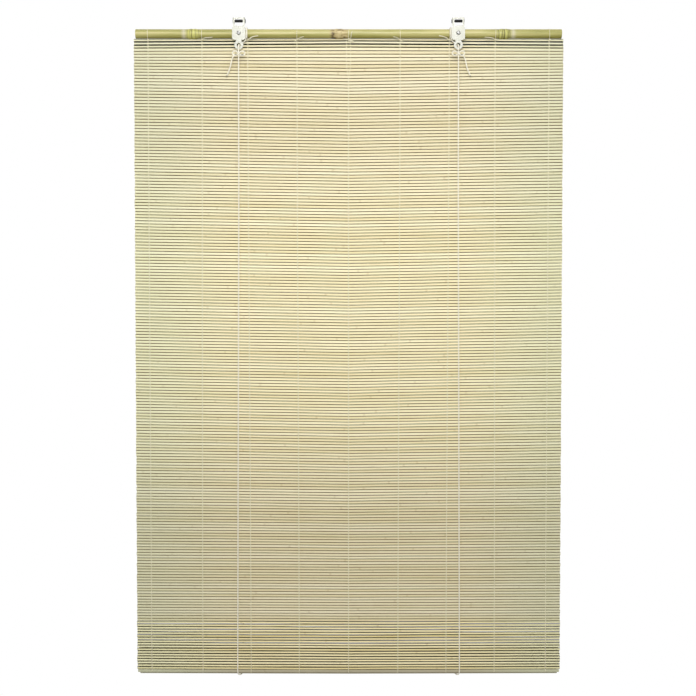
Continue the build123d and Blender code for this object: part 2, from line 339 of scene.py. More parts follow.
# %% Braid and twist finishes
def fibre_finish(name, pale, painted_groove_shade, lay, strands, depth, braided):
    material, tree, shader = new_finish(name, 0.78)
    angle = calc(tree, "ARCTAN2", stored(tree, "ring_sine"), stored(tree, "ring_cosine"))
    along = calc(tree, "MULTIPLY", stored(tree, "along"), 2 * math.pi / lay)
    right = calc(tree, "SINE", calc(tree, "MULTIPLY_ADD", angle, strands, along))
    height = right
    if braided:
        left = calc(tree, "SINE", calc(tree, "SUBTRACT", calc(tree, "MULTIPLY", angle, strands), along))
        height = calc(tree, "MAXIMUM", right, left)
    fuzz = stretched_noise(tree, (2200.0, 2200.0, 2200.0), detail=3.0)
    shown = calc(tree, "MULTIPLY_ADD", height, 0.30, calc(tree, "MULTIPLY_ADD", fuzz, 0.5, 0.30))
    # The low places between the strands take the darker colour: painted shade in the grooves, with random
    # fuzz.
    tree.links.new(ramp(tree, shown, [(0.20, painted_groove_shade), (0.75, pale)]), shader.inputs["Base Color"])
    shader.inputs["Sheen Weight"].default_value = 0.25
    bump(tree, shader, calc(tree, "MULTIPLY_ADD", fuzz, 0.6, height), depth, 0.8)
    return material


BRAID_LAY, TWIST_LAY = 0.0044, 0.0016
white_cord = fibre_finish(
    "white_cord", chip(248, 243, 226), chip(160, 150, 124), BRAID_LAY, 3.0, 0.0002, braided=True)
tie_thread = fibre_finish(
    "tie_thread", chip(238, 232, 206), chip(190, 182, 146), TWIST_LAY, 2.0, 0.0001, braided=False)

# %% Finish the CAD pieces that stay
node_finishes = {"top_pole": pole_bamboo, "bottom_rod": pole_bamboo}
for side in ("left", "right"):
    node_finishes["hanger_" + side] = white_paint
    node_finishes["hanger_pin_" + side] = dark_steel
    node_finishes["hanger_screw_" + side] = screw_steel
for node_name, finish in node_finishes.items():
    node_mesh = frame["nodes"][node_name].data
    node_mesh.materials.clear()
    node_mesh.materials.append(finish)
print("finished CAD nodes", sorted(node_finishes))

# %% [markdown]
# ## Measures of the mat
#
# The places of the slats come from the frame, not from typed numbers: the joints' heights give the pitch
# and the places where the mat bends, and the boxes of the top and hem pieces give how many slats they hold.

# %% Read the slats from the frame
SLAT_LENGTH = 0.900
SLAT_THICKNESS = 0.0016
BAND_SLATS = 5
THREAD_COLUMNS = (-0.420, -0.307, -0.211, -0.108, 0.0, 0.108, 0.211, 0.307, 0.420)
band_names = sorted(name for name in frame["nodes"] if name.startswith("slat_band_"))
joint_heights = {j["child"]: j["pos_m"][2] for j in frame["joints"]}
hinge_zs = [joint_heights["band_%02d" % (i + 1)] for i in range(len(band_names))] + [joint_heights["hem"]]
rod_low, rod_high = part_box("bottom_rod")
rod_y = (rod_low.y + rod_high.y) / 2
rod_z = (rod_low.z + rod_high.z) / 2
slat_pitch = (hinge_zs[0] - hinge_zs[-1]) / (len(band_names) * BAND_SLATS)
top_count = round((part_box("top_slats")[1].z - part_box("top_slats")[0].z) / slat_pitch)
hem_count = round((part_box("hem_front_slats")[1].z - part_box("hem_front_slats")[0].z) / slat_pitch)
mat_top = hinge_zs[0] + top_count * slat_pitch
slat_total = top_count + len(band_names) * BAND_SLATS + hem_count
print(slat_total, "slats, joints", round(slat_pitch * 1000, 3), "mm a slat, top", round(mat_top, 4))

# %% [markdown]
# ## Where each slat lies
#
# The weight of the mat draws its upper slats apart, so the pitch is widest under the pole and falls evenly
# to the hem. The first slat is drawn right up against the pole. The last front slat keeps its place in
# front of the rod. Each piece of the mat spans one hinge and holds the slats between two seams, which lie
# midway between hinges.

# %% Slat edges and seams
TOP_RAISE = 0.0025
PITCH_FALL = 0.0009
BLEND_REACH = 2.5 * slat_pitch
SHADED_SLATS = 3
ladder_top = mat_top + TOP_RAISE
mean_pitch = (ladder_top - rod_z - PITCH_FALL / 4) / (slat_total - 0.5)


def slat_edge(number):
    """The height of a slat's upper edge."""
    return ladder_top - number * mean_pitch - PITCH_FALL * number * (1 - number / slat_total) / 2


def slat_middle(number):
    return (slat_edge(number) + slat_edge(number + 1)) / 2


def local_pitch(numbers):
    return (slat_edge(numbers[0]) - slat_edge(numbers[-1] + 1)) / len(numbers)


seams = [ladder_top] + [z + BLEND_REACH for z in hinge_zs[1:]] + [slat_edge(slat_total)]


def span_slats(hinge):
    """The numbers of the slats that one piece holds, round this hinge."""
    return [n for n in range(slat_total) if seams[hinge + 1] < slat_middle(n) <= seams[hinge]]


top_pitch, hem_pitch = local_pitch([0]), local_pitch([slat_total - 1])
print("pitch", round(top_pitch * 1000, 2), "mm at the top,", round(hem_pitch * 1000, 2), "mm at the hem")

# %% [markdown]
# ## How the mat hangs
#
# A real mat is not ruled with a straight edge. Its slats run down a little towards the middle, by some
# 7 mm over most of the height and less near the hem. Right under the pole the gaps run up towards the
# middle instead, where the first slat is squeezed against the pole. The whole mat also wanders slowly. One
# set of nodes works out that drop from a point's place. The slats, the threads and the hem all use it, so
# they stay together.

# %% The mat's drop, as nodes
MAT_SAG, MAT_WANDER = 0.0072, 0.0016
SQUEEZE = 0.0027
FIRST_GAP = ladder_top - slat_edge(1)
SAG_DEPTH = 0.085


def mat_drop(tree, position, sag, wander):
    place = add_node(tree, "ShaderNodeSeparateXYZ", {0: position})
    x, z = place.outputs["X"], place.outputs["Z"]
    below_pole = eased_range(tree, z, ladder_top - 0.010, ladder_top - SAG_DEPTH, 0.0, 1.0)
    above_hem = eased_range(tree, z, -0.80, -1.25, 1.0, 0.22)
    across = calc(tree, "MULTIPLY", calc(tree, "ABSOLUTE", x), 2.0 / SLAT_LENGTH)
    sagging = calc(tree, "MULTIPLY", calc(tree, "MULTIPLY", calc(tree, "SUBTRACT", across, 0.5), sag), calc(
        tree, "MULTIPLY", below_pole, above_hem))
    first_gap = add_node(tree, "ShaderNodeMapRange", {
        "Value": z, "From Min": ladder_top, "From Max": ladder_top - FIRST_GAP, "To Min": 0.0,
        "To Max": SQUEEZE}).outputs[0]
    fading = eased_range(tree, z, ladder_top - FIRST_GAP, ladder_top - SAG_DEPTH, 1.0, 0.0)
    squeezed = calc(tree, "MULTIPLY", calc(tree, "SUBTRACT", 1.0, across), calc(
        tree, "MULTIPLY", first_gap, fading))
    lookup = add_node(tree, "ShaderNodeCombineXYZ", {
        "X": calc(tree, "MULTIPLY", x, 2.4), "Y": 0.0, "Z": calc(tree, "MULTIPLY", z, 9.0)}).outputs[0]
    noise = add_node(tree, "ShaderNodeTexNoise", {"Vector": lookup, "Scale": 1.0, "Detail": 1.0}).outputs[0]
    wandering = calc(tree, "MULTIPLY", calc(tree, "SUBTRACT", noise, 0.5), calc(
        tree, "MULTIPLY", wander, below_pole))
    return calc(tree, "ADD", calc(tree, "ADD", sagging, squeezed), wandering)


# %% [markdown]
# ## Slats by Geometry Nodes
#
# More than two hundred slats repeat one shape, so a tree makes one slat and places a copy on each point of
# a ladder. The slat is a Mesh Cube with a few rows of vertices, reshaped so that its front is a little
# narrower than its back. The grooves between neighbours are then closed behind and dark, as on the real mat.
# Each point brings its slat's number, its lean and its trim, and the number seeds that slat's tone.

# %% The slat tree
def new_tree(name):
    """A geometry tree with one geometry in and one out."""
    tree = bpy.data.node_groups.new(name, "GeometryNodeTree")
    for way in ("INPUT", "OUTPUT"):
        tree.interface.new_socket(name="Geometry", in_out=way, socket_type="NodeSocketGeometry")
    return tree


def number_input(tree, name, value, kind="NodeSocketFloat"):
    made = tree.interface.new_socket(name=name, in_out="INPUT", socket_type=kind)
    if value is not None:
        made.default_value = value


def named(tree, name):
    return add_node(tree, "GeometryNodeInputNamedAttribute", {"Name": name}, data_type="FLOAT").outputs[0]


def slat_tree():
    tree = new_tree("tied_slats")
    sizes = {
        "Slat Length": SLAT_LENGTH, "Slat Pitch": slat_pitch, "Slat Thickness": SLAT_THICKNESS,
        "Face Share": 0.74, "Back Share": 1.0, "Edge Rounding": 0.00028, "Gap Wander": 0.0005,
        "Mat Wander": MAT_WANDER, "Sag": MAT_SAG,
    }
    for name, value in sizes.items():
        number_input(tree, name, value)
    number_input(tree, "Seed", 4, "NodeSocketInt")
    number_input(tree, "Finish", None, "NodeSocketMaterial")
    given = add_node(tree, "NodeGroupInput").outputs
    cube = add_node(tree, "GeometryNodeMeshCube", {
        "Size": (1.0, 1.0, 1.0), "Vertices X": 11, "Vertices Y": 2, "Vertices Z": 4})
    place = add_node(tree, "ShaderNodeSeparateXYZ", {
        0: add_node(tree, "GeometryNodeInputPosition").outputs[0]}).outputs
    x, y, z = place["X"], place["Y"], place["Z"]
    rear = calc(tree, "ADD", y, 0.5)
    share = calc(tree, "MULTIPLY_ADD", calc(tree, "SUBTRACT", given["Back Share"], given["Face Share"]),
                 rear, given["Face Share"])
    edge = calc(tree, "MAXIMUM", calc(tree, "SUBTRACT", calc(tree, "ABSOLUTE", z), 0.17), 0.0)
    rounding = calc(tree, "MULTIPLY", calc(tree, "MULTIPLY", edge, 3.0), calc(
        tree, "MULTIPLY", calc(tree, "SUBTRACT", 1.0, rear), given["Edge Rounding"]))
    shaped = add_node(tree, "ShaderNodeCombineXYZ", {
        "X": calc(tree, "MULTIPLY", x, given["Slat Length"]),
        "Y": calc(tree, "MULTIPLY_ADD", y, given["Slat Thickness"], rounding),
        "Z": calc(tree, "MULTIPLY", z, calc(tree, "MULTIPLY", share, given["Slat Pitch"]))}).outputs[0]
    slat = add_node(tree, "GeometryNodeSetPosition", {"Geometry": cube.outputs["Mesh"], "Position": shaped})
    normal = add_node(tree, "ShaderNodeSeparateXYZ", {
        0: add_node(tree, "GeometryNodeInputNormal").outputs[0]}).outputs["Z"]
    is_side = calc(tree, "GREATER_THAN", calc(tree, "ABSOLUTE", normal), 0.6)
    slat = add_node(tree, "GeometryNodeStoreNamedAttribute", {
        "Geometry": slat.outputs[0], "Name": "side_face", "Value": is_side}, data_type="FLOAT", domain="FACE")
    number = named(tree, "slat_number")
    tone = add_node(tree, "FunctionNodeRandomValue", {
        "ID": number, "Seed": given["Seed"]}, data_type="FLOAT").outputs[1]
    ladder = add_node(tree, "GeometryNodeStoreNamedAttribute", {
        "Geometry": given["Geometry"], "Name": "slat_tone", "Value": tone}, data_type="FLOAT", domain="POINT")
    trim = add_node(tree, "FunctionNodeRandomValue", {
        2: -0.0022, 3: 0.0005, "ID": number, "Seed": 11}, data_type="FLOAT").outputs[1]
    turned = add_node(tree, "ShaderNodeCombineXYZ", {"X": named(tree, "slat_lean"), "Y": 0.0, "Z": 0.0})
    scaled = add_node(tree, "ShaderNodeCombineXYZ", {
        "X": calc(tree, "ADD", named(tree, "slat_trim"), trim), "Y": 1.0, "Z": 1.0})
    copies = add_node(tree, "GeometryNodeInstanceOnPoints", {
        "Points": ladder.outputs[0], "Instance": slat.outputs[0], "Rotation": turned.outputs[0],
        "Scale": scaled.outputs[0]})
    real = add_node(tree, "GeometryNodeRealizeInstances", {0: copies.outputs[0]})
    position = add_node(tree, "GeometryNodeInputPosition").outputs[0]
    drop = mat_drop(tree, position, given["Sag"], given["Mat Wander"])
    there = add_node(tree, "ShaderNodeSeparateXYZ", {0: position}).outputs["X"]
    lookup = add_node(tree, "ShaderNodeCombineXYZ", {
        "X": calc(tree, "MULTIPLY", there, 7.0), "Y": calc(tree, "MULTIPLY", number, 3.7), "Z": 0.5})
    own = add_node(tree, "ShaderNodeTexNoise", {"Vector": lookup.outputs[0], "Scale": 1.0, "Detail": 1.0})
    own_shift = calc(tree, "MULTIPLY", calc(tree, "SUBTRACT", own.outputs[0], 0.5), given["Gap Wander"])
    moved = add_node(tree, "ShaderNodeCombineXYZ", {
        "X": 0.0, "Y": 0.0, "Z": calc(tree, "ADD", drop, own_shift)})
    hung = add_node(tree, "GeometryNodeSetPosition", {
        "Geometry": real.outputs[0], "Offset": moved.outputs[0]})
    finished = add_node(tree, "GeometryNodeSetMaterial", {
        "Geometry": hung.outputs[0], "Material": given["Finish"]})
    tree.links.new(finished.outputs[0], add_node(tree, "NodeGroupOutput").inputs[0])
    return tree


tied_slats = slat_tree()

# %% [markdown]
# ## From a tree to a plain mesh
#
# A piece that bends or rides has to be a plain mesh. A modifier runs the tree on a small guide object, and
# new_from_object copies the evaluated result. The guide is then removed, so no modifier is left.

# %% Run a tree
def run_tree(guide, tree, name, **inputs):
    """Runs a tree on a guide object and returns the result as a plain mesh object."""
    modifier = guide.modifiers.new(tree.name, "NODES")
    modifier.node_group = tree
    sockets = {s.name: s.identifier for s in tree.interface.items_tree if s.in_out == "INPUT"}
    for key, value in inputs.items():
        modifier[sockets[key.replace("_", " ").title()]] = value
    bpy.context.view_layer.update()
    evaluated = guide.evaluated_get(bpy.context.evaluated_depsgraph_get())
    mesh = bpy.data.meshes.new_from_object(evaluated)
    bpy.data.objects.remove(guide)
    mesh.name = name
    piece = bpy.data.objects.new(name, mesh)
    bpy.context.collection.objects.link(piece)
    return piece


def guide_points(places, **values):
    """A mesh of loose points, with one stored number of each kind for each point."""
    mesh = bpy.data.meshes.new("guide")
    mesh.from_pydata(places, [], [])
    for key, numbers in values.items():
        mesh.attributes.new(key, "FLOAT", "POINT").data.foreach_set("value", numbers)
    guide = bpy.data.objects.new("guide", mesh)
    bpy.context.collection.objects.link(guide)
    return guide


def slat_piece(name, numbers, finish, **sizes):
    guide = guide_points(
        [(0.0, 0.0, slat_middle(n)) for n in numbers], slat_number=[float(n) for n in numbers],
        slat_lean=[0.0] * len(numbers), slat_trim=[1.0] * len(numbers))
    return run_tree(guide, tied_slats, name, finish=finish, slat_pitch=local_pitch(numbers), **sizes)


# %% [markdown]
# ## The mat in pieces
#
# The mat rolls up from below, and each band of five slats turns on a hinge above it. A cut at each hinge
# would show as a hard corner, so every piece spans one hinge. The first slats, which hang in the pole's
# shade with dark gaps, and the last front slat, which belongs to the rounded lower edge, are in pieces of
# their own.


def join_across(piece):
    """Bakes a piece's transform into its mesh; the piece stays where it was made."""
    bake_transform(piece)


HEM_SIZES = {"face_share": 0.60, "back_share": 0.96, "gap_wander": 0.0022}
triangles = 0
for hinge in range(len(hinge_zs)):
    at_hem = hinge == len(band_names)
    numbers = span_slats(hinge)
    near_hem = hinge >= len(band_names) - 1
    finish = hem_bamboo if near_hem else slat_bamboo
    sizes = HEM_SIZES if near_hem else {}
    if hinge == 0:
        numbers = numbers[SHADED_SLATS:]
    if at_hem:
        numbers = numbers[:-1]
    piece = slat_piece("mat_slats_%02d" % (hinge + 1), numbers, finish, **sizes)
    if hinge == 0:
        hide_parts("top_slats")
    elif at_hem:
        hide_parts(band_names[-1], "hem_front_slats")
    else:
        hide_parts(band_names[hinge - 1])
    join_across(piece)
    piece.data.calc_loop_triangles()
    triangles += len(piece.data.loop_triangles)
shaded_slats = slat_piece("mat_slats_top", range(SHADED_SLATS), shaded_bamboo, face_share=0.52)
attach(shaded_slats, "root")
print("mat pieces", len(hinge_zs) + 1, "triangles", triangles)

# %% [markdown]
# ## The turned hem
#
# At the foot the mat goes round a rod and turns up behind itself. The same tree makes these slats: each
# point of the ladder has a lean. The last front slat and the three round the rod are smooth and close
# together, with a darker grey colour that is painted shade where the mat turns under the rod, and they are
# trimmed shorter one by one, which rounds the mat's lower corners. Nine more rise behind the mat.

# %% Slats round the rod
def leaning_slats(name, finish, rungs, **sizes):
    """A piece of the hem from rungs of y, z, lean and trim, which rides on the hem."""
    guide = guide_points([(0.0, y, z) for y, z, _, _ in rungs],
                         slat_number=[float(slat_total + i) for i in range(len(rungs))],
                         slat_lean=[lean for _, _, lean, _ in rungs], slat_trim=[trim for *_, trim in rungs])
    piece = run_tree(guide, tied_slats, name, finish=finish, **sizes)
    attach(piece, "hem")
    return piece


WRAP_REACH = 0.0061
edge_rungs = [(0.0, rod_z, 0.0, 0.998)]
for degrees, trim in ((-120, 0.987), (-60, 0.983), (0, 0.992)):
    angle = math.radians(degrees)
    edge_rungs.append((rod_y + WRAP_REACH * math.cos(angle), rod_z + WRAP_REACH * math.sin(angle),
                       angle + math.pi, trim))
leaning_slats("hem_edge", worn_bamboo, edge_rungs, face_share=0.97, gap_wander=0.0002, slat_pitch=0.0060)

# %% Slats behind the mat
FLAP_SLATS, FLAP_GAP = 9, 0.0018
flap_start = rod_y + WRAP_REACH
flap_lean = math.asin((flap_start - SLAT_THICKNESS - FLAP_GAP) / (FLAP_SLATS * slat_pitch))
flap_rungs = []
for step in range(FLAP_SLATS):
    reach = (step + 0.5) * slat_pitch
    flap_rungs.append((flap_start - reach * math.sin(flap_lean), rod_z + slat_pitch / 2 + reach * math.cos(
        flap_lean), flap_lean + math.pi, 0.996 + 0.002 * math.sin(step * 2.3)))
hem_back = leaning_slats("hem_back", hem_bamboo, flap_rungs, back_share=0.96)
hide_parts("hem_back_slats")
print("slats round the rod", len(edge_rungs), "and behind the mat", len(flap_rungs))

# %% [markdown]
# ## Woven threads
#
# Two threads run down each column and cross between every two slats: one passes in front of a slat while
# the other passes behind, then they change over. The tree draws a straight line from each point, bends it
# into that wave from its own height, and gives it a round section. The wave is held flat over each slat
# with a clamp, which makes the short stitches that show on the real mat. The crossings lie forward in the
# gaps, where they show as pale breaks in the dark lines.

# %% The thread tree
SPREAD_KEPT, SPREAD_GONE = 0.045, 0.085


def thread_tree():
    tree = new_tree("woven_threads")
    sizes = {
        "Run": 0.03, "Slat Pitch": slat_pitch, "Piece Top": mat_top, "First Number": 0.0, "Reach": 0.00130,
        "Crossing": -0.00075, "Thread Radius": 0.00060, "Sag": MAT_SAG, "Mat Wander": MAT_WANDER,
    }
    for name, value in sizes.items():
        number_input(tree, name, value)
    number_input(tree, "Finish", None, "NodeSocketMaterial")
    given = add_node(tree, "NodeGroupInput").outputs
    end = add_node(tree, "ShaderNodeCombineXYZ", {"Z": calc(tree, "MULTIPLY", given["Run"], -1.0)})
    line = add_node(tree, "GeometryNodeCurvePrimitiveLine", {"End": end.outputs[0]})
    copies = add_node(tree, "GeometryNodeInstanceOnPoints", {
        "Points": given["Geometry"], "Instance": line.outputs[0]})
    real = add_node(tree, "GeometryNodeRealizeInstances", {0: copies.outputs[0]})
    fine = add_node(tree, "GeometryNodeResampleCurve", {
        "Curve": real.outputs[0], "Length": calc(tree, "DIVIDE", given["Slat Pitch"], 4.0)}, mode="LENGTH")
    position = add_node(tree, "GeometryNodeInputPosition").outputs[0]
    place = add_node(tree, "ShaderNodeSeparateXYZ", {0: position}).outputs
    counted = calc(tree, "ADD", given["First Number"], calc(
        tree, "DIVIDE", calc(tree, "SUBTRACT", given["Piece Top"], place["Z"]), given["Slat Pitch"]))
    turn = calc(tree, "MULTIPLY_ADD", counted, math.pi, -math.pi / 2)
    strand = named(tree, "strand")
    over = calc(tree, "MULTIPLY", calc(tree, "COSINE", turn), 1.7)
    over = calc(tree, "MINIMUM", calc(tree, "MAXIMUM", over, -1.0), 1.0)
    in_gap = calc(tree, "SUBTRACT", 1.0, calc(tree, "ABSOLUTE", over))
    front_back = calc(tree, "MULTIPLY_ADD", calc(tree, "MULTIPLY", over, strand), given["Reach"],
                      calc(tree, "MULTIPLY", in_gap, given["Crossing"]))
    apart = calc(tree, "MULTIPLY", calc(tree, "MULTIPLY", strand, named(tree, "spread")),
                 eased_range(tree, place["Z"], mat_top - SPREAD_KEPT, mat_top - SPREAD_GONE, 1.0, 0.0))
    drop = mat_drop(tree, position, given["Sag"], given["Mat Wander"])
    sway = calc(tree, "MULTIPLY", calc(tree, "MULTIPLY", calc(tree, "SINE", turn), strand), 0.0003)
    way_down = eased_range(tree, place["Z"], mat_top, rod_z, 0.0, 1.0)
    drifting = calc(tree, "MULTIPLY", named(tree, "drift"), way_down)
    shift = add_node(tree, "ShaderNodeCombineXYZ", {
        "X": calc(tree, "ADD", calc(tree, "ADD", apart, sway), drifting), "Y": front_back, "Z": drop})
    woven = add_node(tree, "GeometryNodeSetPosition", {
        "Geometry": fine.outputs[0], "Offset": shift.outputs[0]})
    length = add_node(tree, "GeometryNodeStoreNamedAttribute", {
        "Geometry": woven.outputs[0], "Name": "along", "Value": calc(tree, "MULTIPLY", place["Z"], -1.0)},
        data_type="FLOAT", domain="POINT")
    tube = add_node(tree, "GeometryNodeCurveToMesh", {
        "Curve": length.outputs[0], "Profile Curve": round_section(tree, 5, given["Thread Radius"])})
    finished = add_node(tree, "GeometryNodeSetMaterial", {
        "Geometry": tube.outputs[0], "Material": given["Finish"]})
    tree.links.new(finished.outputs[0], add_node(tree, "NodeGroupOutput").inputs[0])
    return tree


def round_section(tree, sides, radius):
    """A circle to sweep, with its direction stored as a cosine and a sine."""
    circle = add_node(tree, "GeometryNodeCurvePrimitiveCircle", {"Resolution": sides, "Radius": radius})
    way_round = add_node(tree, "GeometryNodeSplineParameter").outputs["Factor"]
    angle = calc(tree, "MULTIPLY", way_round, 2 * math.pi)
    section = circle.outputs["Curve"]
    for name, wave in (("ring_cosine", "COSINE"), ("ring_sine", "SINE")):
        section = add_node(tree, "GeometryNodeStoreNamedAttribute", {
            "Geometry": section, "Name": name, "Value": calc(tree, wave, angle)},
            data_type="FLOAT", domain="POINT").outputs[0]
    return section


woven_threads = thread_tree()

# %% Threads across each hinge
SPREAD_AT_MIDDLE = 0.0042
COLUMN_DRIFTS = (0.0012, -0.0030, 0.0036, 0.0030, 0.0, -0.0030, -0.0036, 0.0030, -0.0012)
thread_triangles = 0
for hinge in range(len(hinge_zs)):
    numbers = span_slats(hinge)
    top, foot = slat_edge(numbers[0]), slat_edge(numbers[-1] + 1)
    places = [(x, 0.0, top) for x in THREAD_COLUMNS for strand in (-1, 1)]
    guide = guide_points(
        places, strand=[strand for x in THREAD_COLUMNS for strand in (-1.0, 1.0)],
        spread=[SPREAD_AT_MIDDLE if x == 0.0 else 0.0 for x in THREAD_COLUMNS for strand in (-1, 1)],
        drift=[drift for drift in COLUMN_DRIFTS for strand in (-1, 1)])
    piece = run_tree(guide, woven_threads, "threads_%02d" % (hinge + 1), finish=tie_thread, run=top - foot,
                     slat_pitch=local_pitch(numbers), piece_top=top, first_number=float(numbers[0]))
    if hinge == 0:
        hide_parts("warp_threads")
    join_across(piece)
    piece.data.calc_loop_triangles()
    thread_triangles += len(piece.data.loop_triangles)
print("thread triangles", thread_triangles)

# %% [markdown]
# ## Tubes that follow a route
#
# Cords, bows, ties and knots are all tubes along a smooth line. Each route is a NURBS curve with the same
# points as in the part's source, and a short tree sweeps a circle along it and stores the length and the
# direction for the braid. A curve's own bevel would be simpler, but it stores neither.

# %% The tube tree
def tube_tree():
    tree = new_tree("round_tube")
    number_input(tree, "Tube Radius", 0.0013)
    number_input(tree, "Sides", 12, "NodeSocketInt")
    number_input(tree, "Finish", None, "NodeSocketMaterial")
    given = add_node(tree, "NodeGroupInput").outputs
    length = add_node(tree, "GeometryNodeSplineParameter").outputs["Length"]
    line = add_node(tree, "GeometryNodeStoreNamedAttribute", {
        "Geometry": given["Geometry"], "Name": "along", "Value": length}, data_type="FLOAT", domain="POINT")
    tube = add_node(tree, "GeometryNodeCurveToMesh", {
        "Curve": line.outputs[0], "Profile Curve": round_section(tree, given["Sides"], given["Tube Radius"]),
        "Fill Caps": True})
    finished = add_node(tree, "GeometryNodeSetMaterial", {
        "Geometry": tube.outputs[0], "Material": given["Finish"]})
    tree.links.new(finished.outputs[0], add_node(tree, "NodeGroupOutput").inputs[0])
    return tree


round_tube = tube_tree()


def route(points_list, resolution=6):
    """A NURBS curve of one or more routes through these control points."""
    data = bpy.data.curves.new("route", "CURVE")
    data.dimensions = "3D"
    for points in points_list:
        spline = data.splines.new("NURBS")
        spline.points.add(len(points) - 1)
        for spline_point, place in zip(spline.points, points):
            spline_point.co = (*place, 1.0)
        spline.order_u = 3
        spline.use_endpoint_u = True
        spline.resolution_u = resolution
    guide = bpy.data.objects.new("route", data)
    bpy.context.collection.objects.link(guide)
    return guide


def swept(guide, name, radius, finish, sides=12):
    """A round tube along a route, shaded smooth."""
    piece = run_tree(guide, round_tube, name, tube_radius=radius, sides=sides, finish=finish)
    for polygon in piece.data.polygons:
        polygon.use_smooth = True
    return piece


def tube_along(name, points_list, radius, finish, sides=12, resolution=6):
    return swept(route(points_list, resolution), name, radius, finish, sides)


# %% [markdown]
# ## Lift cords
#
# Each cord is tied below its hanger's eye, runs down the front, goes under the hem and comes up the back
# to the pole. It is held tight all the way, so it has no sag. Below the bow it comes to lie on the mat. When
# the mat rolls up, the cord goes round the roll with it, so it is cut at the same places as the slats, and
# each length spans one hinge.

# %% Sizes of the cords
HANGER_X = 0.229
CORD_RADIUS = 0.0013
KNOT_Y, KNOT_Z = -0.01385, -0.06995
KNOT_FOOT = KNOT_Z - 0.0010
CORD_OVER_Y = 0.01185
CORD_BACK_TOP = -0.0330
CORD_WRAP = 0.00907
CORD_BACK_X = 0.2134
CORD_FOOT_X = 0.225
CORD_FOOT_SLANT = 0.011
CORD_LIE = 0.00215
FRONT_LIES_BELOW, BACK_LIES_BELOW = -0.400, -0.054
FLAP_TOP, FLAP_REACH = hinge_zs[-1] + 0.018, 0.068
WRAP_ROUTE = [(-0.98, -0.35), (-0.62, -0.88), (0.0, -1.06), (0.62, -0.88), (0.98, -0.35)]


def mirrored(points, side):
    return [(side * x, y, z) for x, y, z in points]


def eased(value, start, end):
    """0 at the start, 1 at the end and smooth between."""
    share = min(max((value - start) / (end - start), 0.0), 1.0)
    return share * share * (3.0 - 2.0 * share)


# %% Where the cords run
def front_cord(z):
    """The front length at a height: it starts in front of the eye and comes to lie on the slats."""
    down = (KNOT_Z - z) / (KNOT_Z - rod_z)
    x = HANGER_X + (CORD_FOOT_X + CORD_FOOT_SLANT - HANGER_X) * down
    return x, KNOT_Y - (KNOT_Y + CORD_LIE) * eased(z, KNOT_FOOT, FRONT_LIES_BELOW), z


def back_cord(z):
    """The back length at a height: off the pole, flat on the slats and out over the turned hem."""
    down = (CORD_BACK_TOP - z) / (CORD_BACK_TOP - rod_z)
    y = CORD_OVER_Y + (CORD_LIE - CORD_OVER_Y) * eased(z, CORD_BACK_TOP, BACK_LIES_BELOW)
    y += (rod_y + CORD_WRAP - CORD_LIE) * min(max((FLAP_TOP - z) / FLAP_REACH, 0.0), 1.0)
    return CORD_BACK_X + (CORD_FOOT_X - CORD_BACK_X) * down, y, z


def heights(top, foot):
    steps = max(round((top - foot) / slat_pitch), 2)
    return [top + (foot - top) * i / steps for i in range(steps + 1)]


# %% Cords across each hinge
for hinge in range(len(hinge_zs)):
    at_hem = hinge == len(band_names)
    top, foot = seams[hinge], rod_z + 0.45 * CORD_WRAP if at_hem else seams[hinge + 1]
    front = [front_cord(z) for z in heights(KNOT_FOOT if hinge == 0 else top, foot)]
    back = [back_cord(z) for z in heights(CORD_BACK_TOP if hinge == 0 else top, foot)]
    runs = [front, back]
    if at_hem:
        under = [(CORD_FOOT_X + CORD_FOOT_SLANT * (1.0 - u) / 2, rod_y + u * CORD_WRAP, rod_z + v * CORD_WRAP)
                 for u, v in WRAP_ROUTE]
        runs = [front + under + back[::-1]]
    both_sides = [mirrored(run, side) for side in (-1, 1) for run in runs]
    cords = tube_along("lift_cords_%02d" % (hinge + 1), both_sides, CORD_RADIUS, white_cord, sides=10,
                       resolution=3)
    if hinge == 0:
        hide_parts("lift_cord_left", "lift_cord_right")
    join_across(cords)
print("lengths of lift cord", len(hinge_zs))

# %% [markdown]
# ## The tied ends
#
# The cord comes up the back, goes over the pole beside the plate, passes behind the plate and out through
# the eye, and is tied in a small bow. The bow is two real loops and a wrapped knot, drawn as routes of
# their own and joined into one piece with the cord that leads to it.

